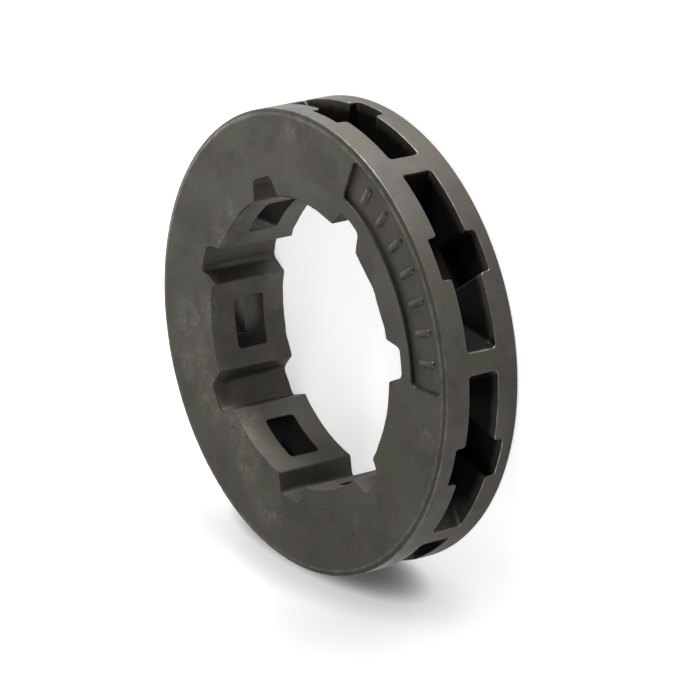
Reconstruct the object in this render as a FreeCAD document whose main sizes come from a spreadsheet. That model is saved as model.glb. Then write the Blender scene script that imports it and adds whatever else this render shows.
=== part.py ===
import FreeCAD, Part
import math
import os
import Sketcher

# Chainsaw rim sprocket, a steel ring cast in one piece, in millimetres.
# It lies on its back face at z = 0, with the front face, which has a shallow recess, upwards.
# The origin is the middle of the back face, and +X runs through the middle of a pocket.
# Two rails carry the chain's side links. Between them each drive link drops into a pocket,
# is pushed by a bridge and ends near the splined bore, where the pocket opens a window.

sizes = {
    # ring
    "railDiameter": 30.4,
    "rimThickness": 5.85,
    # pressed edge of both faces: a bevel that ends in a narrow ledge just below the face
    "rimBevel": 0.25,            # across the face
    "rimDrop": 0.14,             # along the axis
    "rimLedge": 0.12,
    # chain track: pockets between narrow bridges
    "pocketCount": 7,
    "slotMiddle": 2.82,          # height of the track's middle above the back face
    "slotWidth": 2.25,           # between the rails
    "slotCorner": 0.25,
    "bridgeWidth": 1.4,          # at the rails' diameter
    "windowWidth": 3.35,         # where a pocket breaks through into the bore
    # relief notch in both rails at the middle of each pocket
    "notchLength": 2.75,         # along the rim
    "notchWidth": 3.67,          # along the axis
    "notchDepth": 3.4,
    "notchCorner": 0.2,
    "notchShoulder": 0.25,       # rounding where the notch meets the slot
    # splined bore
    "boreDiameter": 19.1,
    "boreChamfer": 0.06,
    "grooveDiameter": 21.6,
    "grooveMouth": 2.7,
    "grooveFloor": 1.9,
    "grooveCorner": 0.4,
    "landCorner": 0.2,
    # shallow recess in the front face, over the pocket on +X
    "recessWall": 1.0,           # from the grooves to the recess
    "recessLip": 0.15,           # from the recess to the rim's bevel
    "recessAngle": 65.0,
    "recessDepth": 0.25,
    "recessCorner": 0.45,
}

overshoot = 0.6                  # how far a cutting outline reaches past the solid
touch = 1e-4                     # tolerance for finding an edge by its place


def makeSheet(doc):
    sheet = doc.addObject("Spreadsheet::Sheet", "Sizes")
    for row, (name, value) in enumerate(sizes.items(), start=1):
        sheet.set("A%d" % row, name)
        sheet.set("B%d" % row, str(value))
        sheet.setAlias("B%d" % row, name)
    doc.recompute()


def originItem(body, role):
    return next(item for item in body.Origin.OriginFeatures if item.Role == role)


def addSketch(body, name, role, height=None):
    # sketch on one of the body's origin planes, or at a height above it given as an expression
    sketch = body.newObject("Sketcher::SketchObject", name)
    sketch.AttachmentSupport = [(originItem(body, role), "")]
    sketch.MapMode = "FlatFace"
    if height:
        sketch.setExpression(".AttachmentOffset.Base.z", height)
    return sketch


def join(sketch, kind, *where):
    return sketch.addConstraint(Sketcher.Constraint(kind, *where))


def bind(sketch, name, expression, kind, *where):
    # a named dimension of the sketch, tied to the sheet
    index = join(sketch, kind, *where)
    sketch.renameConstraint(index, name)
    sketch.setExpression("Constraints." + name, expression)


def addLine(sketch, start, end, construction=False):
    segment = Part.LineSegment(FreeCAD.Vector(*start, 0), FreeCAD.Vector(*end, 0))
    return sketch.addGeometry(segment, construction)


def addPoint(sketch, place):
    return sketch.addGeometry(Part.Point(FreeCAD.Vector(*place, 0)), True)


def addCircle(sketch, name, expression, radius):
    # construction circle about the sketch's origin
    circle = Part.Circle(FreeCAD.Vector(0, 0, 0), FreeCAD.Vector(0, 0, 1), radius)
    index = sketch.addGeometry(circle, True)
    join(sketch, "Coincident", index, 3, -1, 1)
    bind(sketch, name, expression, "Radius", index, radius)
    return index


def addOutline(sketch, points):
    # closed outline of straight lines, line i running from point i to the next one
    count = len(points)
    lines = [addLine(sketch, points[i], points[(i + 1) % count]) for i in range(count)]
    for i in range(count):
        join(sketch, "Coincident", lines[i], 2, lines[(i + 1) % count], 1)
    return lines


def addSteppedOutline(sketch, half):
    # outline of level and upright lines in turn, the same when turned half round the middle
    # of the slot; only the first half of its corners is given, from that middle
    middle = sizes["slotMiddle"]
    corners = half + [(-x, -y) for x, y in half]
    lines = addOutline(sketch, [(x, middle + y) for x, y in corners])
    centre = addPoint(sketch, (0, middle))
    join(sketch, "PointOnObject", centre, 1, -2)
    bind(sketch, "middle", "Sizes.slotMiddle", "DistanceY", -1, 1, centre, 1, middle)
    for i in range(len(half)):
        join(sketch, "Horizontal" if i % 2 == 0 else "Vertical", lines[i])
        join(sketch, "Symmetric", lines[i], 1, lines[i + len(half)], 1, centre, 1)
    return lines, centre


def roundCorners(sketch, name, size, lines):
    # rounds the corner at the end of each line; the sharp corner stays as a point
    for number, line in enumerate(lines, start=1):
        sketch.fillet(line, 2, sizes[size], True, True)
        arc = sketch.GeometryCount - 2
        bind(sketch, name + str(number), "Sizes." + size, "Radius", arc, sizes[size])


def addCut(body, kind, name, sketch):
    cut = body.newObject("PartDesign::" + kind, name)
    cut.Profile = sketch
    return cut


def edgesWhere(feature, test):
    return ["Edge%d" % number for number, edge in enumerate(feature.Shape.Edges, start=1) if test(edge)]


def dressEdges(body, kind, name, base, test, sizeProperty, size):
    # fillet or chamfer on the edges of the solid so far that pass the test
    body.Document.recompute()
    feature = body.newObject("PartDesign::" + kind, name)
    feature.Base = (base, edgesWhere(base, test))
    feature.setExpression(sizeProperty, "Sizes." + size)
    return feature


def addRing(body):
    rail = sizes["railDiameter"] / 2
    bore = sizes["boreDiameter"] / 2
    top = sizes["rimThickness"]
    bevel = sizes["rimBevel"]
    drop = sizes["rimDrop"]
    ledge = sizes["rimLedge"]
    edge = rail - ledge
    face = edge - bevel
    sketch = addSketch(body, "ringSection", "XZ_Plane")
    corners = [(bore, 0), (face, 0), (edge, drop), (rail, drop),
               (rail, top - drop), (edge, top - drop), (face, top), (bore, top)]
    back, backBevel, backLedge, side, frontLedge, frontBevel, front, wall = addOutline(sketch, corners)
    join(sketch, "PointOnObject", back, 1, -1)
    for line in (back, backLedge, frontLedge, front):
        join(sketch, "Horizontal", line)
    for line in (side, wall):
        join(sketch, "Vertical", line)
    bind(sketch, "bore", "Sizes.boreDiameter / 2", "DistanceX", -1, 1, back, 1, bore)
    bind(sketch, "rail", "Sizes.railDiameter / 2", "DistanceX", -1, 1, side, 1, rail)
    bind(sketch, "top", "Sizes.rimThickness", "DistanceY", -1, 1, wall, 1, top)
    bind(sketch, "backBevel", "Sizes.rimBevel", "DistanceX", backBevel, 1, backBevel, 2, bevel)
    bind(sketch, "backDrop", "Sizes.rimDrop", "DistanceY", backBevel, 1, backBevel, 2, drop)
    bind(sketch, "backLedge", "Sizes.rimLedge", "DistanceX", backLedge, 1, backLedge, 2, ledge)
    bind(sketch, "frontBevel", "Sizes.rimBevel", "DistanceX", frontBevel, 2, frontBevel, 1, bevel)
    bind(sketch, "frontDrop", "Sizes.rimDrop", "DistanceY", frontBevel, 1, frontBevel, 2, drop)
    bind(sketch, "frontLedge", "Sizes.rimLedge", "DistanceX", frontLedge, 2, frontLedge, 1, ledge)
    ring = addCut(body, "Revolution", "ring", sketch)
    ring.ReferenceAxis = (sketch, ["V_Axis"])
    ring.Angle = 360
    return ring


def addPocket(body):
    # slot between the rails; its flanks run from the window's edges to the bridges' edges
    rail = sizes["railDiameter"] / 2
    bore = sizes["boreDiameter"] / 2
    halfWindow = sizes["windowWidth"] / 2
    halfBridge = sizes["bridgeWidth"] / 2
    bridgeAngle = math.pi / sizes["pocketCount"]
    windowX = math.sqrt(bore ** 2 - halfWindow ** 2)
    cornerAngle = bridgeAngle - math.asin(halfBridge / rail)
    cornerX = rail * math.cos(cornerAngle)
    cornerY = rail * math.sin(cornerAngle)
    slope = (cornerY - halfWindow) / (cornerX - windowX)
    innerX = bore - overshoot
    innerY = halfWindow + slope * (innerX - windowX)
    outerX = rail + overshoot
    outerY = halfWindow + slope * (outerX - windowX)
    sketch = addSketch(body, "pocketPlan", "XY_Plane", "Sizes.slotMiddle")
    corners = [(innerX, -innerY), (outerX, -outerY), (outerX, outerY), (innerX, innerY)]
    lowerFlank, outside, upperFlank, inside = addOutline(sketch, corners)
    join(sketch, "Symmetric", lowerFlank, 1, inside, 1, -1)
    join(sketch, "Symmetric", outside, 1, upperFlank, 1, -1)
    bind(sketch, "inside", "Sizes.boreDiameter / 2 - %g" % overshoot, "DistanceX", -1, 1, inside, 1, innerX)
    bind(sketch, "outside", "Sizes.railDiameter / 2 + %g" % overshoot, "DistanceX", -1, 1, outside, 1, outerX)
    rim = addCircle(sketch, "rim", "Sizes.railDiameter / 2", rail)
    boreCircle = addCircle(sketch, "bore", "Sizes.boreDiameter / 2", bore)
    bridge = addLine(sketch, (0, 0), (rail * math.cos(bridgeAngle), rail * math.sin(bridgeAngle)), True)
    join(sketch, "Coincident", bridge, 1, -1, 1)
    join(sketch, "PointOnObject", bridge, 2, rim)
    bind(sketch, "bridgeAngle", "180 / Sizes.pocketCount", "Angle", -1, 1, bridge, 1, bridgeAngle)
    windowEdge = addPoint(sketch, (windowX, halfWindow))
    bridgeEdge = addPoint(sketch, (cornerX, cornerY))
    for point, circle in ((windowEdge, boreCircle), (bridgeEdge, rim)):
        join(sketch, "PointOnObject", point, 1, circle)
        join(sketch, "PointOnObject", point, 1, upperFlank)
    bind(sketch, "halfWindow", "Sizes.windowWidth / 2", "DistanceY", -1, 1, windowEdge, 1, halfWindow)
    bind(sketch, "halfBridge", "Sizes.bridgeWidth / 2", "Distance", bridgeEdge, 1, bridge, halfBridge)
    pocket = addCut(body, "Pocket", "pocket", sketch)
    pocket.SideType = "Symmetric"
    pocket.setExpression("Length", "Sizes.slotWidth")
    return pocket


def addNotch(body):
    # square relief across both rails, its corners with the slot rounded off
    halfLength = sizes["notchLength"] / 2
    halfWidth = sizes["notchWidth"] / 2
    halfSlot = sizes["slotWidth"] / 2
    shoulder = sizes["notchShoulder"] * 2
    reach = halfLength + shoulder
    sketch = addSketch(body, "notchOutline", "YZ_Plane", "Sizes.railDiameter / 2 + %g" % overshoot)
    half = [(-halfLength, -halfWidth), (halfLength, -halfWidth), (halfLength, -halfSlot),
            (reach, -halfSlot), (reach, halfSlot), (halfLength, halfSlot)]
    lines, centre = addSteppedOutline(sketch, half)
    bottom, side, ledge, end = lines[:4]
    bind(sketch, "length", "Sizes.notchLength", "DistanceX", bottom, 1, bottom, 2, halfLength * 2)
    bind(sketch, "halfLength", "Sizes.notchLength / 2", "DistanceX", centre, 1, side, 1, halfLength)
    bind(sketch, "halfWidth", "Sizes.notchWidth / 2", "DistanceY", side, 1, centre, 1, halfWidth)
    bind(sketch, "ledge", "Sizes.notchShoulder * 2", "DistanceX", ledge, 1, ledge, 2, shoulder)
    bind(sketch, "slot", "Sizes.slotWidth", "DistanceY", end, 1, end, 2, halfSlot * 2)
    bind(sketch, "halfSlot", "Sizes.slotWidth / 2", "DistanceY", centre, 1, end, 2, halfSlot)
    roundCorners(sketch, "corner", "notchCorner", [lines[0], lines[5], lines[6], lines[11]])
    roundCorners(sketch, "shoulder", "notchShoulder", [lines[1], lines[4], lines[7], lines[10]])
    notch = addCut(body, "Pocket", "notch", sketch)
    notch.setExpression("Length", "Sizes.notchDepth + %g" % overshoot)
    return notch


def addGroove(body):
    # spline groove behind each bridge, narrowing towards its floor
    bore = sizes["boreDiameter"] / 2
    floorX = sizes["grooveDiameter"] / 2
    halfMouth = sizes["grooveMouth"] / 2
    halfFloor = sizes["grooveFloor"] / 2
    mouthX = math.sqrt(bore ** 2 - halfMouth ** 2)
    innerX = mouthX - overshoot
    sketch = addSketch(body, "grooveOutline", "XY_Plane", "Sizes.rimThickness")
    sketch.setExpression(".AttachmentOffset.Rotation.Angle", "180 / Sizes.pocketCount")
    corners = [(innerX, -halfMouth), (mouthX, -halfMouth), (floorX, -halfFloor),
               (floorX, halfFloor), (mouthX, halfMouth), (innerX, halfMouth)]
    lowerLead, lowerSide, floor, upperSide, upperLead, inside = addOutline(sketch, corners)
    for lower, upper in ((lowerLead, inside), (lowerSide, upperLead), (floor, upperSide)):
        join(sketch, "Symmetric", lower, 1, upper, 1, -1)
    join(sketch, "Horizontal", upperLead)
    boreCircle = addCircle(sketch, "bore", "Sizes.boreDiameter / 2", bore)
    join(sketch, "PointOnObject", upperLead, 1, boreCircle)
    bind(sketch, "halfMouth", "Sizes.grooveMouth / 2", "DistanceY", -1, 1, upperLead, 1, halfMouth)
    bind(sketch, "halfFloor", "Sizes.grooveFloor / 2", "DistanceY", -1, 1, upperSide, 1, halfFloor)
    bind(sketch, "floor", "Sizes.grooveDiameter / 2", "DistanceX", -1, 1, floor, 1, floorX)
    bind(sketch, "lead", str(overshoot), "DistanceX", inside, 1, upperLead, 1, overshoot)
    roundCorners(sketch, "corner", "grooveCorner", [lowerSide, floor])
    groove = addCut(body, "Pocket", "groove", sketch)
    groove.Type = "ThroughAll"
    return groove


def recessRadii():
    inner = sizes["grooveDiameter"] / 2 + sizes["recessWall"]
    outer = sizes["railDiameter"] / 2 - sizes["rimLedge"] - sizes["rimBevel"] - sizes["recessLip"]
    return inner, outer


def addRecess(body):
    # sector of a ring, sunk into the front face over the pocket on +X
    inner, outer = recessRadii()
    innerExpression = "Sizes.grooveDiameter / 2 + Sizes.recessWall"
    outerExpression = "Sizes.railDiameter / 2 - Sizes.rimLedge - Sizes.rimBevel - Sizes.recessLip"
    half = math.radians(sizes["recessAngle"] / 2)
    sketch = addSketch(body, "recessOutline", "XY_Plane", "Sizes.rimThickness")
    arcs = []
    for name, expression, radius in (("inner", innerExpression, inner), ("outer", outerExpression, outer)):
        circle = Part.Circle(FreeCAD.Vector(0, 0, 0), FreeCAD.Vector(0, 0, 1), radius)
        arc = sketch.addGeometry(Part.ArcOfCircle(circle, -half, half), False)
        join(sketch, "Coincident", arc, 3, -1, 1)
        bind(sketch, name, expression, "Radius", arc, radius)
        arcs.append(arc)
    for name, side, end in (("lower", -1, 1), ("upper", 1, 2)):
        direction = (math.cos(half), side * math.sin(half))
        line = addLine(sketch, [inner * part for part in direction], [outer * part for part in direction])
        join(sketch, "Coincident", line, 1, arcs[0], end)
        join(sketch, "Coincident", line, 2, arcs[1], end)
        join(sketch, "PointOnObject", -1, 1, line)
        pair = (line, 1, -1, 1) if side < 0 else (-1, 1, line, 1)
        bind(sketch, name + "Angle", "Sizes.recessAngle / 2", "Angle", *pair, half)
    recess = addCut(body, "Pocket", "recess", sketch)
    recess.setExpression("Length", "Sizes.recessDepth")
    return recess


def axisDistances(edge):
    return sorted(math.hypot(vertex.X, vertex.Y) for vertex in edge.Vertexes)


def isSlotCorner(edge):
    # edge between a pocket's flank and a rail, from the window to the rim
    ends = axisDistances(edge)
    return abs(ends[0] - sizes["boreDiameter"] / 2) < touch and abs(ends[-1] - sizes["railDiameter"] / 2) < touch


def isUpright(edge, length):
    # straight edge along the axis, of that length
    start, end = edge.Vertexes[0].Point, edge.Vertexes[-1].Point
    return abs(edge.Length - length) < touch and abs(abs(start.z - end.z) - length) < touch


def isLandCorner(edge):
    # edge between a groove's side and the bore, along the whole bore
    return isUpright(edge, sizes["rimThickness"]) and abs(axisDistances(edge)[0] - sizes["boreDiameter"] / 2) < touch


def isRecessCorner(edge):
    # edge between an end of the recess and its inner or outer wall
    place = axisDistances(edge)[0]
    return isUpright(edge, sizes["recessDepth"]) and min(abs(place - radius) for radius in recessRadii()) < touch


def isBoreEdge(edge):
    # edge of the bore's outline in the front or back face
    reach = math.hypot(sizes["grooveDiameter"], sizes["grooveFloor"]) / 2
    heights = [vertex.Z for vertex in edge.Vertexes]
    inFace = any(max(abs(z - face) for z in heights) < touch for face in (0, sizes["rimThickness"]))
    return inFace and axisDistances(edge)[-1] < reach + touch


def addSprocket(doc):
    body = doc.addObject("PartDesign::Body", "rim_sprocket")
    body.Label = "rim_sprocket"
    addRing(body)
    pocket = addPocket(body)
    slotCorners = dressEdges(body, "Fillet", "slotCorners", pocket, isSlotCorner, "Radius", "slotCorner")
    cuts = [pocket, slotCorners, addNotch(body), addGroove(body)]
    pattern = body.newObject("PartDesign::PolarPattern", "pockets")
    pattern.Originals = cuts
    pattern.Axis = (originItem(body, "Z_Axis"), [""])
    pattern.Angle = 360
    pattern.setExpression("Occurrences", "Sizes.pocketCount")
    body.Tip = pattern
    solid = addRecess(body)
    for kind, name, test, sizeProperty, size in (
            ("Fillet", "recessCorners", isRecessCorner, "Radius", "recessCorner"),
            ("Fillet", "landCorners", isLandCorner, "Radius", "landCorner"),
            ("Chamfer", "boreEdge", isBoreEdge, "Size", "boreChamfer")):
        solid = dressEdges(body, kind, name, solid, test, sizeProperty, size)
    doc.recompute()
    return body


def checkModel(doc, body):
    for item in doc.Objects:
        if "Invalid" in item.State or "Error" in item.State:
            raise RuntimeError("%s failed: %s" % (item.Name, item.State))
    solids = [item for item in body.Group if item.isDerivedFrom("PartDesign::Feature")]
    for before, after in zip(solids, solids[1:]):
        if abs(after.Shape.Volume - before.Shape.Volume) < touch:
            raise RuntimeError(after.Name + " changes nothing on the solid")
    if body.Shape.isNull() or not body.Shape.isValid() or len(body.Shape.Solids) != 1:
        raise RuntimeError(body.Label + " is not one valid solid")


def main():
    doc = FreeCAD.newDocument("rimSprocket")
    makeSheet(doc)
    body = addSprocket(doc)
    checkModel(doc, body)
    os.makedirs("parts", exist_ok=True)
    body.Shape.exportStep("parts/%s.step" % body.Label)
    print("%s: %.1f mm3 of steel" % (body.Label, body.Shape.Volume))


main()
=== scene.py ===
import math

import bmesh
import bpy
from mathutils import Matrix, Vector
from mathutils.noise import noise as unevenness, noise_vector as wander, seed_set as seedWander


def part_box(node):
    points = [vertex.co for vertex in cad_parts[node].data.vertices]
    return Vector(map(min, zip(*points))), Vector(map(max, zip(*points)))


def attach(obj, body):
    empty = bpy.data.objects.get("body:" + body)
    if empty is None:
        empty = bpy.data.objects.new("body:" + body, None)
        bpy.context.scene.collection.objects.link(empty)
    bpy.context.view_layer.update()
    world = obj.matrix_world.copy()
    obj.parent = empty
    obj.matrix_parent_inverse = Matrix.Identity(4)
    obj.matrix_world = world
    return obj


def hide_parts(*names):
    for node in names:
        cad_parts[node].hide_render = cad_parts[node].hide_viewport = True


# Chainsaw rim sprocket lying on its back face, metres, +Z along the bore.

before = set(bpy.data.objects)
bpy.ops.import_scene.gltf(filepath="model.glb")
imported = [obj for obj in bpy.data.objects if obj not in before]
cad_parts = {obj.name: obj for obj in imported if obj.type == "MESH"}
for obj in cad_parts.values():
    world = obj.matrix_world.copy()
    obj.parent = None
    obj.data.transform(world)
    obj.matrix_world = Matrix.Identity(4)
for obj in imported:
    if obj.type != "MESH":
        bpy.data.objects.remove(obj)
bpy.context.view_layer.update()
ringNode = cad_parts["rim_sprocket"]
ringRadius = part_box("rim_sprocket")[1].x
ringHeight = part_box("rim_sprocket")[1].z

millimetre = 0.001
landRadius = 9.55                # mm
recessDepth = 0.25               # mm
pocketWall = 0.5                 # mark on the pockets' walls, whose ends are marked 1


def direction(azimuth, elevation):
    a = math.radians(azimuth)
    e = math.radians(elevation)
    return Vector((math.cos(a) * math.cos(e), math.sin(a) * math.cos(e), math.sin(e)))


def makeCamera():
    view = {
        "lens": 218.57,          # mm
        "sensor": 36,            # mm
        "azimuth": -12.03,       # degrees from +X
        "elevation": 35.33,
        "distance": 274.61,      # mm from the middle of the back face
        "aim": (1.08, -1.36, 2.925),
        "roll": -103.03,
        "nearest": 10,           # mm
    }
    place = direction(view["azimuth"], view["elevation"]) * view["distance"] * millimetre
    towards = Vector(view["aim"]) * millimetre - place
    level = towards.to_track_quat("-Z", "Y").to_matrix()
    camera = bpy.data.objects.new("camera", bpy.data.cameras.new("camera"))
    camera.data.lens = view["lens"]
    camera.data.sensor_width = view["sensor"]
    camera.data.clip_start = view["nearest"] * millimetre
    turned = level @ Matrix.Rotation(math.radians(view["roll"]), 3, "Z")
    camera.matrix_world = Matrix.Translation(place) @ turned.to_4x4()
    bpy.context.collection.objects.link(camera)
    bpy.context.scene.camera = camera
    print("camera placed")


def makeFloor():
    table = {
        "size": 4,               # metres
        "colour": 0.86,
        "roughness": 0.6,
        # light from below, as on a light table, growing to these strengths away from the axis
        "glowBack": 1.69,        # towards -X
        "glowUp": 1.32,          # towards +Y
        "reach": 40,             # mm from the axis at which they are full
        "seenGlow": 0.56,        # what the camera sees of it
        # painted shadows at the sprocket's foot, soft dark places on the floor: middle and half sizes in
        # mm, turn in degrees, how far the dark spreads and how much light is left in the middle
        "dark": [
            ((-15.9, -10.8), (20.2, 3.8), -28.2, 1.85, 0.58),
            ((-13.1, -11.2), (11.9, 2.7), -31.1, 2.99, 0.0),
            ((-10.3, -16.1), (24.5, 6.4), -10.2, 0.92, 0.7),
        ],
        "shadowColour": 0.1,
    }
    bpy.ops.mesh.primitive_plane_add(size=table["size"])
    floor = bpy.context.object
    floor.name = "floor"
    material = bpy.data.materials.new("paleFloor")
    material.use_nodes = True
    tree = material.node_tree
    shader = tree.nodes["Principled BSDF"]

    def glow(along, reach, strength):
        inputs = {"Value": along, "From Max": reach * millimetre, "To Max": strength}
        return addNode(tree, "ShaderNodeMapRange", inputs).outputs[0]

    at = addNode(tree, "ShaderNodeTexCoord").outputs["Object"]
    place = addNode(tree, "ShaderNodeSeparateXYZ", {0: at}).outputs
    back = glow(place[0], -table["reach"], table["glowBack"])
    up = glow(place[1], table["reach"], table["glowUp"])
    unshadowed = 1.0
    # each dark place is a painted shadow, darkening what the camera sees of the floor
    for middle, size, turn, spread, left in table["dark"]:
        spot = addNode(tree, "ShaderNodeMapping", {
            "Vector": at,
            "Location": Vector(middle + (0,)) * millimetre,
            "Rotation": (0, 0, math.radians(turn)),
            "Scale": Vector(size + (1 / millimetre,)) * millimetre,
        }, vector_type="TEXTURE").outputs[0]
        away = compute(tree, "POWER", vector(tree, "LENGTH", spot), spread)
        unshadowed = compute(tree, "MULTIPLY", unshadowed, span(tree, away, 0.0, 1.0, left, 1.0))
    toCamera = addNode(tree, "ShaderNodeLightPath").outputs["Is Camera Ray"]
    seen = compute(tree, "MULTIPLY", unshadowed, table["seenGlow"])
    strength = blendValues(tree, toCamera, compute(tree, "ADD", back, up), seen)
    tree.links.new(strength, shader.inputs["Emission Strength"])
    # painted shadow: the floor's colour seen by the camera darkens in the dark places
    shade = blendValues(tree, toCamera, 1.0, blendValues(tree, unshadowed, table["shadowColour"], 1.0))
    grey = compute(tree, "MULTIPLY", shade, table["colour"])
    colour = addNode(tree, "ShaderNodeCombineColor", {0: grey, 1: grey, 2: grey}).outputs[0]
    tree.links.new(colour, shader.inputs["Base Color"])
    shader.inputs["Roughness"].default_value = table["roughness"]
    shader.inputs["Emission Color"].default_value = (1, 1, 1, 1)
    floor.data.materials.append(material)
    print("floor made")


def makeLights():
    studio = {
        # dome's strength all round, and what is added straight up, towards -X and towards +Y
        "domeEven": 0.05,
        "domeUp": 0.2,
        "domeBack": 0.12,
        "domeTop": 0.15,
        "distance": 300,         # mm from the sprocket
        # azimuth, elevation, disk size in mm, power in watts
        "lamps": {
            "edgeRight": (60, 6, 60, 1.5),
            "railRight": (60, 18, 120, 0.33),
            "faceLeft": (150, 18, 120, 0.165),
            "softBack": (180, 45, 200, 0.035),
            "lowBelow": (270, 18, 120, 0.33),
            "softBelow": (270, 45, 200, 0.18),
            "softFront": (315, 45, 200, 0.085),
        },
    }
    world = bpy.data.worlds.new("studio")
    bpy.context.scene.world = world
    world.use_nodes = True
    tree = world.node_tree
    dome = tree.nodes["Background"]
    dome.inputs["Color"].default_value = (1, 1, 1, 1)

    def towards(value, strength):
        return compute(tree, "MULTIPLY", compute(tree, "MAXIMUM", value, 0.0), strength)

    sky = addNode(tree, "ShaderNodeTexCoord").outputs["Generated"]
    way = addNode(tree, "ShaderNodeSeparateXYZ", {0: sky}).outputs
    up = towards(way[2], studio["domeUp"])
    back = towards(compute(tree, "MULTIPLY", way[0], -1.0), studio["domeBack"])
    top = towards(way[1], studio["domeTop"])
    sides = compute(tree, "ADD", compute(tree, "ADD", up, back), top)
    tree.links.new(compute(tree, "ADD", sides, studio["domeEven"]), dome.inputs["Strength"])
    for name, (azimuth, elevation, size, power) in studio["lamps"].items():
        lamp = bpy.data.lights.new(name, "AREA")
        lamp.shape = "DISK"
        lamp.size = size * millimetre
        lamp.energy = power
        light = bpy.data.objects.new(name, lamp)
        bpy.context.collection.objects.link(light)
        out = direction(azimuth, elevation)
        light.location = out * studio["distance"] * millimetre
        light.rotation_mode = "QUATERNION"
        light.rotation_quaternion = out.to_track_quat("Z", "Y")
    print("lights placed")


def addNode(tree, kind, inputs=None, **settings):
    # a shader node; an input is a number, a colour or another node's output
    node = tree.nodes.new(kind)
    for name, value in settings.items():
        setattr(node, name, value)
    for name, value in (inputs or {}).items():
        if isinstance(value, bpy.types.NodeSocket):
            tree.links.new(value, node.inputs[name])
        else:
            node.inputs[name].default_value = value
    return node


def compute(tree, operation, *values, clamp=False):
    inputs = dict(enumerate(values))
    return addNode(tree, "ShaderNodeMath", inputs, operation=operation, use_clamp=clamp).outputs[0]


def largest(tree, masks):
    whole = masks[0]
    for mask in masks[1:]:
        whole = compute(tree, "MAXIMUM", whole, mask)
    return whole


def vector(tree, operation, *values):
    # sum, product and so on of vectors, or a length, distance or dot product as a number
    node = addNode(tree, "ShaderNodeVectorMath", dict(enumerate(values)), operation=operation)
    isNumber = operation in ("LENGTH", "DISTANCE", "DOT_PRODUCT")
    return node.outputs["Value" if isNumber else "Vector"]


def fromAxis(tree, position):
    return vector(tree, "LENGTH", vector(tree, "MULTIPLY", position, (1, 1, 0)))


def span(tree, value, low, high, start=0.0, end=1.0):
    # smooth step of a value from low to high, put out between start and end
    inputs = {"Value": value, "From Min": low, "From Max": high, "To Min": start, "To Max": end}
    return addNode(tree, "ShaderNodeMapRange", inputs, interpolation_type="SMOOTHSTEP").outputs[0]


def blendColours(tree, factor, first, second):
    mix = addNode(tree, "ShaderNodeMix", data_type="RGBA")
    sockets = {"Factor": mix.inputs[0], "A": mix.inputs[6], "B": mix.inputs[7]}
    for name, value in (("Factor", factor), ("A", first), ("B", second)):
        if isinstance(value, bpy.types.NodeSocket):
            tree.links.new(value, sockets[name])
        else:
            sockets[name].default_value = value
    return mix.outputs[2]


def blendValues(tree, factor, first, second):
    return addNode(tree, "ShaderNodeMix", {0: factor, 2: first, 3: second}, data_type="FLOAT").outputs[0]


def noise(tree, position, scale, detail=3.0, roughness=0.55):
    inputs = {"Vector": position, "Scale": scale, "Detail": detail, "Roughness": roughness}
    return addNode(tree, "ShaderNodeTexNoise", inputs).outputs[0]


def newGroup(name, inputs, outputs=("Mask",)):
    # node group whose inputs are given with their start values; positions and lengths are in mm
    tree = bpy.data.node_groups.new(name, "ShaderNodeTree")
    for label, value in inputs.items():
        kind = "NodeSocketFloat" if isinstance(value, float) else "NodeSocketVector"
        socket = tree.interface.new_socket(label, in_out="INPUT", socket_type=kind)
        if value is not None:
            socket.default_value = value
    for label in outputs:
        tree.interface.new_socket(label, in_out="OUTPUT", socket_type="NodeSocketFloat")
    return tree, tree.nodes.new("NodeGroupInput").outputs, tree.nodes.new("NodeGroupOutput").inputs


def makeMottling():
    # soft blotches of tone and tint a few millimetres across
    blotch = {
        "broadDetail": 1.0,
        "broadShare": 0.65,
        "fineTimes": 4.0,        # how much finer the fine blotches are
        "fineShare": 0.35,
        "tone": (0.38, 0.62),    # noise at which the steel is darkest and lightest
        "tintTimes": 1.5,
        "tintDetail": 2.0,
        "tint": (0.4, 0.66),
        "shifts": {"Pink": (31.0, 17.0, 5.0), "Olive": (11.0, 43.0, 27.0)},
    }
    tree, given, result = newGroup("mottling", {"Position": None, "Scale": 0.4},
                                   ("Tone", "Pink", "Olive"))
    broad = noise(tree, given["Position"], given["Scale"], blotch["broadDetail"])
    fineScale = compute(tree, "MULTIPLY", given["Scale"], blotch["fineTimes"])
    fine = noise(tree, given["Position"], fineScale)
    tone = compute(tree, "ADD", compute(tree, "MULTIPLY", broad, blotch["broadShare"]),
                   compute(tree, "MULTIPLY", fine, blotch["fineShare"]))
    tree.links.new(span(tree, tone, *blotch["tone"]), result["Tone"])
    for name, shift in blotch["shifts"].items():
        shifted = vector(tree, "ADD", given["Position"], shift)
        scale = compute(tree, "MULTIPLY", given["Scale"], blotch["tintTimes"])
        tint = noise(tree, shifted, scale, blotch["tintDetail"])
        tree.links.new(span(tree, tint, *blotch["tint"]), result[name])
    return tree


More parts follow.
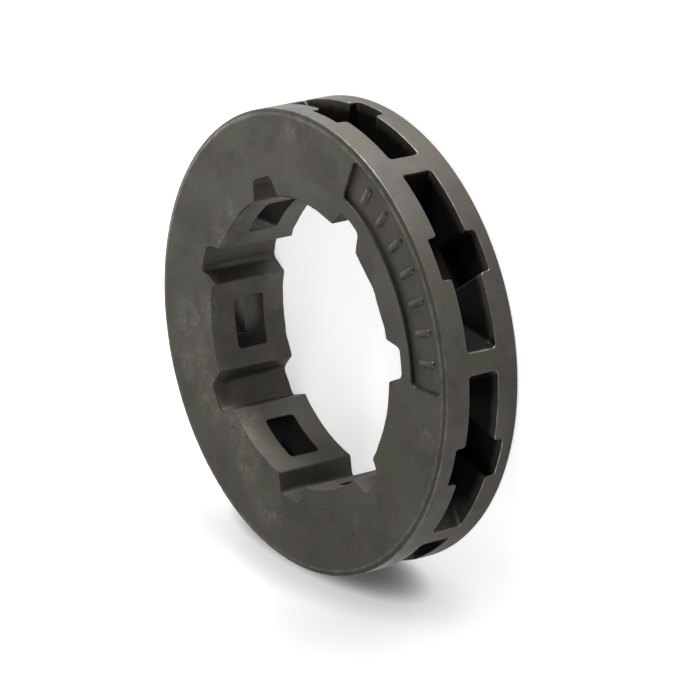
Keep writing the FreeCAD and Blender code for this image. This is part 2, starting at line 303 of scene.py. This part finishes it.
def makeCastGrain():
    # height of the pressed and fired surface: low swells, fine grain and rare pits
    grit = {
        "swell": (0.5, 2.0),     # scale and detail
        "grain": (3.5, 5.0, 0.65),
        "pitScale": 0.9,
        "pitless": 0.72,         # share of the cells without a pit
        "pitRadius": (0.02, 0.13),
        "pitRim": (1.0, 0.4),
    }
    tree, given, result = newGroup(
        "castGrain", {"Position": None, "Swell": 0.01, "Grain": 0.003, "Pit": 0.03}, ("Height", "Pits"))
    swell = compute(tree, "MULTIPLY", noise(tree, given["Position"], *grit["swell"]), given["Swell"])
    grain = compute(tree, "MULTIPLY", noise(tree, given["Position"], *grit["grain"]), given["Grain"])
    inputs = {"Vector": given["Position"], "Scale": grit["pitScale"]}
    cells = addNode(tree, "ShaderNodeTexVoronoi", inputs)
    pick = addNode(tree, "ShaderNodeSeparateColor", {0: cells.outputs["Color"]})
    chosen = compute(tree, "GREATER_THAN", pick.outputs[0], grit["pitless"])
    small, large = grit["pitRadius"]
    radius = compute(tree, "ADD", compute(tree, "MULTIPLY", pick.outputs[1], large - small), small)
    near = compute(tree, "DIVIDE", cells.outputs["Distance"], radius)
    pits = compute(tree, "MULTIPLY", span(tree, near, *grit["pitRim"]), chosen)
    depth = compute(tree, "MULTIPLY", pits, given["Pit"])
    height = compute(tree, "SUBTRACT", compute(tree, "ADD", swell, grain), depth)
    tree.links.new(height, result["Height"])
    tree.links.new(pits, result["Pits"])
    return tree


def makeEdgeWearAndHighlight():
    # bare metal where an edge has been rubbed, and painted highlight lines, broken up along their length
    patch = {
        "detail": (4.0, 0.7),
        "noise": (0.35, 0.65),   # where the wear is least and most
        "least": 0.12,
    }
    tree, given, result = newGroup(
        "edgeWearAndHighlight", {"Edge": 0.0, "Position": None, "Scale": 1.2, "Amount": 0.5})
    uneven = noise(tree, given["Position"], given["Scale"], *patch["detail"])
    patches = span(tree, uneven, *patch["noise"], patch["least"], 1.0)
    worn = compute(tree, "MULTIPLY", given["Edge"], patches)
    tree.links.new(compute(tree, "MULTIPLY", worn, given["Amount"]), result["Mask"])
    return tree


def makeRimBand():
    # narrow band round the faces' outer edge, which wanders a little in and out
    band = {
        "drift": (0.9, 2.0),     # scale and detail
        "soft": (1.0, 0.3),      # share of the width at which it starts and is full
        "fromFace": (0.22, 0.16),
    }
    tree, given, result = newGroup(
        "rimBand", {"Position": None, "Radius": 15.0, "Width": 0.1, "Wander": 0.06, "Height": 5.85})
    height = addNode(tree, "ShaderNodeSeparateXYZ", {0: given["Position"]}).outputs[2]
    drift = compute(tree, "SUBTRACT", noise(tree, given["Position"], *band["drift"]), 0.5)
    radius = compute(tree, "ADD", fromAxis(tree, given["Position"]),
                     compute(tree, "MULTIPLY", drift, given["Wander"]))
    aside = compute(tree, "ABSOLUTE", compute(tree, "SUBTRACT", radius, given["Radius"]))
    ring = span(tree, compute(tree, "DIVIDE", aside, given["Width"]), *band["soft"])
    half = compute(tree, "DIVIDE", given["Height"], 2.0)
    fromMiddle = compute(tree, "ABSOLUTE", compute(tree, "SUBTRACT", height, half))
    nearFace = span(tree, compute(tree, "SUBTRACT", half, fromMiddle), *band["fromFace"])
    tree.links.new(compute(tree, "MULTIPLY", ring, nearFace), result["Mask"])
    return tree


def makeHollowShade():
    # painted shade that fills hollows, darker the deeper they are
    falloff = {
        "scale": 1.3,
        "uneven": 0.5,
        "start": 0.1,            # share of the full depth at which it starts
    }
    tree, given, result = newGroup(
        "hollowShade", {"Hollow": 0.0, "Depth": 1.0, "Full": 0.5, "Position": None, "Amount": 0.8})
    uneven = compute(tree, "SUBTRACT", noise(tree, given["Position"], falloff["scale"]), 0.5)
    reached = compute(tree, "DIVIDE", given["Depth"], given["Full"])
    reached = compute(tree, "ADD", reached, compute(tree, "MULTIPLY", uneven, falloff["uneven"]))
    paintedShade = compute(tree, "MULTIPLY", given["Hollow"], span(tree, reached, falloff["start"], 1.0))
    tree.links.new(compute(tree, "MULTIPLY", paintedShade, given["Amount"], clamp=True), result["Mask"])
    return tree


def makeSpot():
    # soft round spot at one place, full within a quarter of its radius
    tree, given, result = newGroup("spot", {"Position": None, "Place": (0, 0, 0), "Radius": 2.0})
    distance = vector(tree, "DISTANCE", given["Position"], given["Place"])
    away = compute(tree, "DIVIDE", distance, given["Radius"])
    tree.links.new(span(tree, away, 1.0, 0.25), result["Mask"])
    return tree


def makeScuffs():
    # pale flecks and specks inside a rubbed area
    marks = [
        # scale, detail and roughness, noise at which they are faintest and full, and how faint
        ((0.8, 4.0, 0.6), (0.4, 0.62), 0.2),
        ((2.6, 3.0, 0.6), (0.38, 0.65), 0.4),
    ]
    tree, given, result = newGroup("scuffs", {"Position": None, "Area": 0.0})
    flecks, specks = [span(tree, noise(tree, given["Position"], *grain), *reach, least, 1.0)
                      for grain, reach, least in marks]
    both = compute(tree, "MULTIPLY", flecks, specks)
    tree.links.new(compute(tree, "MULTIPLY", given["Area"], both), result["Mask"])
    return tree


def makeScratch():
    # fine straight scratch between two points of the upper face
    tree, given, result = newGroup(
        "scratch", {"Position": None, "From": (0, 0, 0), "To": (1, 0, 0), "Width": 0.06})
    along = vector(tree, "SUBTRACT", given["To"], given["From"])
    here = vector(tree, "SUBTRACT", given["Position"], given["From"])
    share = compute(tree, "DIVIDE", vector(tree, "DOT_PRODUCT", here, along),
                    vector(tree, "DOT_PRODUCT", along, along), clamp=True)
    foot = addNode(tree, "ShaderNodeVectorMath", {0: along, "Scale": share}, operation="SCALE")
    aside = vector(tree, "DISTANCE", here, foot.outputs[0])
    aside = compute(tree, "DIVIDE", aside, given["Width"])
    tree.links.new(span(tree, aside, 1.0, 0.3), result["Mask"])
    return tree


def makeSteel():
    steel = {
        "dark": (0.084, 0.08, 0.073, 1),
        "light": (0.115, 0.109, 0.098, 1),
        "pink": (0.111, 0.091, 0.085, 1),
        "olive": (0.099, 0.098, 0.074, 1),
        "tint": 0.8,              # how far the pink and the olive show
        "blotchScale": 0.3,       # per mm
        # colour of the painted shade in the pockets, the recess, the pits, the bore's edges and the
        # rim's dark line
        "paintedShade": (0.0078, 0.0075, 0.007, 1),
        "shadeDepth": (0.8, 0.2),  # mm below the rails at which the pockets' walls and ends are darkest
        "shadeFrom": (10.0, 12.5), # mm from the axis between which the painted shade thins towards the bore
        "shadeLeast": 0.75,        # share of it that is left there
        "recessShadeAmount": 0.6,
        "pitShade": 0.5,
        "bareAndHighlight": (0.34, 0.325, 0.3, 1),
        "wear": 0.42,
        "wornTo": (0.15, 0.4),    # mm below the rails between which the pockets' edges stop being worn
        "scuffed": (0.215, 0.196, 0.16, 1),
        "scuff": 0.65,
        "scuffHeight": 0.006,     # mm
        "metallic": 0.8,
        "specular": 0.25,
        "roughness": (0.52, 0.44),  # of the darkest and the lightest steel
        "bareRoughness": 0.38,
        "shadeRoughness": 0.8,
        # two painted highlight lines and a painted shade line between them along the faces' outer edge:
        # radius and width in mm and strength
        "innerHighlight": (14.84, 0.15, 0.75),
        "outerHighlight": (15.15, 0.1, 0.375),
        "shadeLine": (15.0, 0.08, 0.12),
        "edgeOnLine": 0.5,        # share of the outer edge's own wear that is left under the outer painted highlight
        # pale rubbed patches on the front face: x, y and radius in mm
        "scuffs": [
            (-8.6, 5.4, 1.7), (-10.7, 5.5, 2.3), (-11.7, 3.2, 2.8), (-11.2, 0.2, 2.6),
            (-9.8, -2.6, 2.6), (-10.2, -5.0, 2.4), (-1.9, 9.9, 1.2), (-4.2, 9.0, 1.2),
            (-9.4, -8.2, 2.0), (6.9, 12.0, 1.2), (9.6, -9.8, 1.0),
        ],
        # places in the pockets where the painted shade is lighter, as light falls in there: middle,
        # radius in mm and how much
        "lessShade": [((-10.4, 6.0, 1.5), 3.0, 0.98), ((4.6, -14.4, 2.8), 2.4, 0.75)],
        # places in the pockets with full painted shade, over a lit wall and a glint: middle and radius
        # in mm
        "moreShade": [((0.0, -14.7, 1.7), 3.4), ((13.85, -5.8, 1.75), 0.9)],
        # darker soft patches on the front face: x, y, radius in mm and strength
        "darkerPatches": [(-4.9, -12.2, 8.0, 0.16)],
        # faint straight scratches on the front face: start and end in mm
        "scratches": [
            ((-0.3, -11.6), (-1.5, -13.6)), ((-5.8, 8.75), (-4.9, 8.2)),
            ((-9.75, -1.1), (-9.3, -1.35)), ((7.8, 10.35), (8.45, 10.8)),
        ],
        "scratch": 0.5,
    }
    groups = {
        "mottling": makeMottling(), "castGrain": makeCastGrain(), "edgeWearAndHighlight": makeEdgeWearAndHighlight(),
        "rimBand": makeRimBand(), "hollowShade": makeHollowShade(), "spot": makeSpot(), "scuffs": makeScuffs(),
        "scratch": makeScratch(),
    }
    material = bpy.data.materials.new("castSteel")
    material.use_nodes = True
    tree = material.node_tree
    shader = tree.nodes["Principled BSDF"]
    inMetres = addNode(tree, "ShaderNodeTexCoord").outputs["Object"]
    scale = (1 / millimetre,) * 3
    position = addNode(tree, "ShaderNodeMapping", {"Vector": inMetres, "Scale": scale}).outputs[0]
    zones = addNode(tree, "ShaderNodeAttribute", attribute_name="zones").outputs
    zone = addNode(tree, "ShaderNodeSeparateColor", {0: zones["Color"]}).outputs
    boreShade = zones["Alpha"]
    top = ringHeight / millimetre

    def use(name, **inputs):
        node = addNode(tree, "ShaderNodeGroup", node_tree=groups[name])
        for label, value in dict(inputs, Position=position).items():
            if isinstance(value, bpy.types.NodeSocket):
                tree.links.new(value, node.inputs[label])
            else:
                node.inputs[label].default_value = value
        return node.outputs

    def times(mask, share):
        return compute(tree, "MULTIPLY", mask, share)

    def spotOn(place, radius):
        return use("spot", Place=place, Radius=radius)["Mask"]

    def band(name):
        radius, width, strength = steel[name]
        return use("rimBand", Radius=radius, Width=width)["Mask"], strength

    # painted shade in the pockets, darker deeper in
    radius = fromAxis(tree, position)
    depth = compute(tree, "SUBTRACT", ringRadius / millimetre, radius)
    inPocket = compute(tree, "MINIMUM", times(zone[1], 1 / pocketWall), 1.0)
    hollow = times(inPocket, span(tree, radius, *steel["shadeFrom"], steel["shadeLeast"]))
    full = span(tree, zone[1], pocketWall, 1.0, *steel["shadeDepth"])
    paintedShade = use("hollowShade", Hollow=hollow, Depth=depth, Full=full, Amount=1.0)["Mask"]
    for place, reach, lessBy in steel["lessShade"]:
        paintedShade = times(paintedShade, span(tree, spotOn(place, reach), 0.0, 1.0, 1.0, 1.0 - lessBy))
    for place, reach in steel["moreShade"]:
        paintedShade = compute(tree, "MAXIMUM", paintedShade, times(inPocket, spotOn(place, reach)))
    # painted shade on the bore's edges and in its grooves
    paintedShade = compute(tree, "MAXIMUM", paintedShade, use("hollowShade", Hollow=boreShade)["Mask"])
    # painted shade in the recess, fullest on its walls
    recessShading = use("hollowShade", Hollow=zone[2], Amount=steel["recessShadeAmount"])["Mask"]

    # worn edges, and the painted highlight and shade lines along the faces' outer edge
    innerHighlight, innerStrength = band("innerHighlight")
    outerHighlight, outerStrength = band("outerHighlight")
    shadeLine, darkStrength = band("shadeLine")
    edge = times(zone[0], span(tree, times(inPocket, depth), *steel["wornTo"], 1.0, 0.0))
    edge = times(edge, span(tree, outerHighlight, 0.0, 1.0, 1.0, steel["edgeOnLine"]))
    edge = largest(tree, [edge, times(innerHighlight, innerStrength), times(outerHighlight, outerStrength)])
    # worn holds the worn edges and the painted highlight lines
    worn = use("edgeWearAndHighlight", Edge=edge, Amount=steel["wear"])["Mask"]

    # rubbed patches and scratches on the front face
    area = largest(tree, [spotOn((x, y, top), reach) for x, y, reach in steel["scuffs"]])
    rubbed = use("scuffs", Area=area)["Mask"]
    for start, end in steel["scratches"]:
        line = use("scratch", From=start + (top,), To=end + (top,))["Mask"]
        rubbed = compute(tree, "MAXIMUM", rubbed, times(line, steel["scratch"]))

    blotches = use("mottling", Scale=steel["blotchScale"])
    surface = use("castGrain")
    colour = blendColours(tree, blotches["Tone"], steel["dark"], steel["light"])
    colour = blendColours(tree, times(blotches["Pink"], steel["tint"]), colour, steel["pink"])
    colour = blendColours(tree, times(blotches["Olive"], steel["tint"]), colour, steel["olive"])
    for x, y, reach, strength in steel["darkerPatches"]:
        colour = blendColours(tree, times(spotOn((x, y, top), reach), strength), colour, steel["paintedShade"])
    colour = blendColours(tree, times(rubbed, steel["scuff"]), colour, steel["scuffed"])
    # painted shade in the pits
    colour = blendColours(tree, times(surface["Pits"], steel["pitShade"]), colour, steel["paintedShade"])
    # painted shade in the recess and along the rim's dark line
    shaded = largest(tree, [recessShading, times(shadeLine, darkStrength)])
    colour = blendColours(tree, shaded, colour, steel["paintedShade"])
    colour = blendColours(tree, paintedShade, colour, steel["paintedShade"])
    colour = blendColours(tree, worn, colour, steel["bareAndHighlight"])
    tree.links.new(colour, shader.inputs["Base Color"])
    rough = span(tree, blotches["Tone"], 0.0, 1.0, *steel["roughness"])
    rough = blendValues(tree, paintedShade, rough, steel["shadeRoughness"])
    tree.links.new(blendValues(tree, worn, rough, steel["bareRoughness"]), shader.inputs["Roughness"])
    height = compute(tree, "ADD", surface["Height"], times(rubbed, steel["scuffHeight"]))
    bump = addNode(tree, "ShaderNodeBump", {"Strength": 1.0, "Distance": millimetre, "Height": height})
    tree.links.new(bump.outputs[0], shader.inputs["Normal"])
    shader.inputs["Metallic"].default_value = steel["metallic"]
    shader.inputs["Specular IOR Level"].default_value = steel["specular"]
    print("steel mixed")
    return material


def makeSprocket(steel):
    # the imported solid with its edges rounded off, and its zones marked for the steel
    edges = {
        "mergeWithin": 0.0002,   # mm
        "levelWithin": 0.4,      # degrees between triangles that become one face
        "sharpFrom": 50,         # degrees of turn at an edge that is rounded
        "softTo": 66,            # degrees of turn that is still shaded smooth
        "hollowFrom": 25,        # degrees of turn at an inner corner that is shaded sharp
        "radius": 0.05,          # mm
        "steps": 2,
    }
    mesh = bmesh.new()
    mesh.from_mesh(ringNode.data)
    layer = mesh.faces.layers.int.new("rounded")
    bmesh.ops.remove_doubles(mesh, verts=mesh.verts, dist=edges["mergeWithin"] * millimetre)
    bmesh.ops.dissolve_limit(mesh, angle_limit=math.radians(edges["levelWithin"]), verts=mesh.verts,
                             edges=mesh.edges)
    sharp = [edge for edge in mesh.edges
             if edge.is_convex and edge.calc_face_angle() > math.radians(edges["sharpFrom"])]
    rounded = bmesh.ops.bevel(mesh, geom=sharp, offset=edges["radius"] * millimetre,
                              offset_type="OFFSET", affect="EDGES", segments=edges["steps"],
                              profile=0.5, material=-1, clamp_overlap=False, loop_slide=False)
    for face in rounded["faces"]:
        face[layer] = 1
    wearBore(mesh)
    bmesh.ops.dissolve_degenerate(mesh, dist=edges["mergeWithin"] * millimetre, edges=mesh.edges)
    mesh.normal_update()
    markZones(mesh)
    for face in mesh.faces:
        face.smooth = True
    for edge in mesh.edges:
        limit = edges["softTo"] if edge.is_convex else edges["hollowFrom"]
        edge.smooth = edge.calc_face_angle() < math.radians(limit)
    sprocket = addPiece("sprocket", mesh, steel)
    straightenNormals(sprocket)
    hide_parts("rim_sprocket")
    print("sprocket rounded,", len(sprocket.data.polygons), "faces")


def straightenNormals(sprocket):
    # level faces and upright walls stay level and upright, and rails and lands are true cylinders
    true = {
        "within": 0.08,          # mm from the rails' or the lands' radius
        "railFacing": 0.99,      # how squarely a face looks outwards, inwards, or up or down
        "landFacing": 0.97,
        "level": 0.99,
        "upright": 0.1,
    }
    within = true["within"] * millimetre
    weighted = sprocket.modifiers.new("weighted", "WEIGHTED_NORMAL")
    weighted.keep_sharp = True
    data = sprocket.data
    shown = sprocket.evaluated_get(bpy.context.evaluated_depsgraph_get()).to_mesh()
    normals = [corner.vector.copy() for corner in shown.corner_normals]
    for face in data.polygons:
        radius = face.center.xy.length
        facing = face.normal.xy.dot(face.center.xy.normalized())
        onRail = radius > ringRadius - within and facing > true["railFacing"]
        onLand = abs(radius - landRadius * millimetre) < within and facing < -true["landFacing"]
        for corner in face.loop_indices:
            if onRail or onLand:
                place = data.vertices[data.loops[corner].vertex_index].co
                normals[corner] = Vector((place.x, place.y, 0)).normalized() * (1 if onRail else -1)
            elif abs(face.normal.z) > true["level"]:
                normals[corner] = Vector((0, 0, math.copysign(1, face.normal.z)))
            elif abs(face.normal.z) < true["upright"]:
                normals[corner] = Vector((normals[corner].x, normals[corner].y, 0)).normalized()
    sprocket.modifiers.remove(weighted)
    data.normals_split_custom_set(normals)


def wearBore(mesh):
    # the bore's edges wear rounder, and all its outlines wander a little as on a pressed part
    wear = {
        "within": 11.2,          # mm from the axis
        "longest": 0.45,         # mm of outline between two points
        "upright": 0.3,          # how far a wall's normal may tilt
        "level": 0.95,
        "edgeReach": 0.08,       # mm from the ends within which the chamfers lie
        "onFace": 0.01,
        "round": (-0.042, 0.06), # mm added to the chamfer where it is worn least and most
        "narrowest": 0.006,      # mm that is left of it
        "roundScale": 0.75,      # per mm
        "roundShift": 315.24,    # picks where the worn places are
        "roundTimes": 1.6,       # how sharply they start
        "wander": 0.04,          # mm
        "wanderScale": 0.3,
        "seed": 1795726476,      # of the wander, which would be another on each run without it
        "loopAt": 0.32,          # mm from each end, where a ring of points keeps the walls straight
        "cutWithin": 1e-7,       # metres
    }
    shift = Vector((wear["roundShift"], 0, 0))
    low, high = wear["round"]
    seedWander(wear["seed"])

    def nearBore(vert):
        return vert.co.xy.length < wear["within"] * millimetre

    for level in (wear["loopAt"] * millimetre, ringHeight - wear["loopAt"] * millimetre):
        walls = [face for face in mesh.faces
                 if abs(face.normal.z) < wear["upright"] and all(map(nearBore, face.verts))]
        parts = set(walls)
        for face in walls:
            parts.update(face.edges)
            parts.update(face.verts)
        bmesh.ops.bisect_plane(mesh, geom=list(parts), dist=wear["cutWithin"],
                               plane_co=(0, 0, level), plane_no=(0, 0, 1))
    long = [edge for edge in mesh.edges
            if nearBore(edge.verts[0]) and nearBore(edge.verts[1])
            and edge.calc_length() > wear["longest"] * millimetre
            and abs(edge.verts[0].co.z - edge.verts[1].co.z) < edge.calc_length() / 2]
    bmesh.ops.subdivide_edges(mesh, edges=long, cuts=1)
    mesh.normal_update()
    moves = {}
    for vert in filter(nearBore, mesh.verts):
        place = vert.co / millimetre
        drift = wander(place * wear["wanderScale"]) * wear["wander"] * millimetre
        moves[vert] = Vector((drift.x, drift.y, 0))
        slopes = [face.normal for face in vert.link_faces
                  if wear["upright"] < abs(face.normal.z) < wear["level"]]
        fromEnd = min(place.z, ringHeight / millimetre - place.z)
        if slopes and fromEnd < wear["edgeReach"]:
            worn = unevenness(place * wear["roundScale"] + shift)
            share = min(1.0, max(0.0, wear["roundTimes"] * worn))
            extra = (low + (high - low) * share) * millimetre
            outward = -sum((slope.xy for slope in slopes), Vector((0, 0)))
            if fromEnd > wear["onFace"]:
                extra = max(extra, (wear["narrowest"] - fromEnd) * millimetre)
                moves[vert].z = -extra if vert.co.z > ringHeight / 2 else extra
            elif outward.length:
                moves[vert] += (outward.normalized() * extra).to_3d()
    for vert, move in moves.items():
        vert.co += move


def markZones(mesh):
    # red marks the worn edges, green the pockets' walls and, fuller, their ends, where painted shade
    # lies, blue the painted shade in the recess, and alpha that on the grooves and edges of the bore
    zones = {
        "boreReach": 11.2,       # mm from the axis
        "railEdge": 0.15,        # mm
        "boreEdge": 0.5,         # how dark the painted shade on the bore's edges is
        "grooveEdge": 0.7,       # the same on the grooves' edges
        "grooveShade": 0.2,       # and on their walls
        "grooveRadius": 10.9,
        "grooveHalf": 1.45,
        "pockets": 7,
        "pocketFrom": 0.1,       # mm outside the lands
        "pocketTo": 0.03,        # mm inside the rails
        "trackMiddle": 2.82,     # height of the pockets' middle
        "trackHalf": 1.95,
        "recessInner": 11.4,
        "recessOuter": 0.4,      # mm inside the rails
        "recessLip": 0.06,       # mm below the face at which its floor starts
        "recessBelow": 0.02,
        "recessFloor": 0.2,      # how dark the recess's floor is beside its walls
        "level": 0.95,           # how far a normal is upright on a level face, on a slope and on an end
        "slope": 0.2,
        "end": 0.5,
    }
    layer = mesh.loops.layers.float_color.new("zones")
    rounded = mesh.faces.layers.int["rounded"]
    rail = ringRadius / millimetre
    top = ringHeight / millimetre
    bridgeStep = math.tau / zones["pockets"]
    recessLow = top - recessDepth - zones["recessBelow"]

    def isGroove(middle, radius):
        angle = (math.atan2(middle.y, middle.x) + math.pi) % bridgeStep
        aside = radius * math.sin(min(angle, bridgeStep - angle))
        return radius < zones["grooveRadius"] and aside < zones["grooveHalf"]

    def isPocket(middle, radius):
        onTrack = abs(middle.z - zones["trackMiddle"]) < zones["trackHalf"]
        inRing = landRadius + zones["pocketFrom"] < radius < rail - zones["pocketTo"]
        return onTrack and inRing and not isGroove(middle, radius)

    # painted shade in the recess: full on its walls, fainter on its floor beside them
    def recessShade(face, middle, radius):
        if not zones["recessInner"] < radius < rail - zones["recessOuter"] or middle.z < recessLow:
            return 0.0
        if face.normal.z < zones["level"]:
            return 1.0
        return zones["recessFloor"] if middle.z < top - zones["recessLip"] else 0.0

    for face in mesh.faces:
        middle = face.calc_center_median() / millimetre
        radius = math.hypot(middle.x, middle.y)
        edge = bool(face[rounded])
        pocket = isPocket(middle, radius) and not (edge and radius > rail - zones["railEdge"])
        nearBore = radius < zones["boreReach"] and not pocket
        boreEdge = nearBore and (edge or zones["slope"] < abs(face.normal.z) < zones["level"])
        groove = nearBore and abs(face.normal.z) < zones["level"] and isGroove(middle, radius)
        edgeShade = zones["grooveEdge"] if groove else zones["boreEdge"]
        inRecess = recessShade(face, middle, radius)
        inPocket = pocket * (1.0 if abs(face.normal.z) < zones["end"] else pocketWall)
        for loop in face.loops:
            place = loop.vert.co / millimetre
            depth = (math.hypot(place.x, place.y) - landRadius) / (zones["grooveRadius"] - landRadius)
            boreShade = edgeShade if boreEdge else zones["grooveShade"] * groove * max(0.0, depth)
            loop[layer] = (edge and not nearBore and not inRecess, inPocket, inRecess, boreShade)


def addPiece(name, mesh, steel):
    data = bpy.data.meshes.new(name)
    mesh.to_mesh(data)
    mesh.free()
    data.materials.append(steel)
    piece = bpy.data.objects.new(name, data)
    bpy.context.collection.objects.link(piece)
    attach(piece, "root")
    return piece


def makeRecessBars(steel):
    # plain raised bars, one for each pocket, on the recess's floor
    bars = {
        "count": 7,
        "radius": 13.2,          # mm from the axis to the middle of a bar
        "spread": 50.0,          # degrees between the first bar and the last
        "length": 1.5,
        "width": 0.5,
        "height": 0.1,
        "sunk": 0.03,
        "rounding": 0.12,
        "roundSteps": 3,
        "steps": 20,             # points round a bar's outline
        "recessShading": (0.6, 0.1),      # painted shade at the foot and on the top
        "footShadeTo": 0.6,           # share of the height that is the foot
    }
    mesh = bmesh.new()
    layer = mesh.loops.layers.float_color.new("zones")
    half = bars["width"] / 2 * millimetre
    straight = (bars["length"] - bars["width"]) / 2 * millimetre
    floor = ringHeight - (recessDepth + bars["sunk"]) * millimetre
    rise = Vector((0, 0, (bars["height"] + bars["sunk"]) * millimetre))
    halfStep = Matrix.Rotation(math.pi / bars["steps"], 4, "Z")
    outline = bmesh.ops.create_circle(mesh, cap_ends=True, segments=bars["steps"], radius=half,
                                      matrix=halfStep)
    for vert in outline["verts"]:
        vert.co.x += math.copysign(straight, vert.co.x)
    raised = bmesh.ops.extrude_face_region(mesh, geom=mesh.faces[:], use_keep_orig=True)["geom"]
    upper = [item for item in raised if isinstance(item, bmesh.types.BMVert)]
    bmesh.ops.translate(mesh, verts=upper, vec=rise)
    crown = next(item for item in raised if isinstance(item, bmesh.types.BMFace))
    bmesh.ops.bevel(mesh, geom=list(crown.edges), offset=bars["rounding"] * millimetre,
                    offset_type="OFFSET", affect="EDGES", segments=bars["roundSteps"], profile=0.5,
                    material=-1, clamp_overlap=True)
    spread = math.radians(bars["spread"])
    out = Matrix.Translation((bars["radius"] * millimetre, 0, floor))
    bmesh.ops.transform(mesh, matrix=Matrix.Rotation(-spread / 2, 4, "Z") @ out, verts=mesh.verts)
    bmesh.ops.spin(mesh, geom=mesh.verts[:] + mesh.edges[:] + mesh.faces[:], cent=(0, 0, 0),
                   axis=(0, 0, 1), angle=spread, steps=bars["count"] - 1, use_duplicate=True)
    bmesh.ops.recalc_face_normals(mesh, faces=mesh.faces)
    # painted shade on the bars, darker at their foot
    foot, crest = bars["recessShading"]
    for face in mesh.faces:
        face.smooth = True
        for loop in face.loops:
            share = (loop.vert.co.z - floor) / rise.z
            loop[layer] = (0.0, 0.0, foot if share < bars["footShadeTo"] else crest, 0.0)
    addPiece("recessBars", mesh, steel)
    print("recess bars raised")


makeCamera()
makeFloor()
makeLights()
steel = makeSteel()
makeSprocket(steel)
makeRecessBars(steel)
bpy.context.scene.view_settings.view_transform = "Standard"
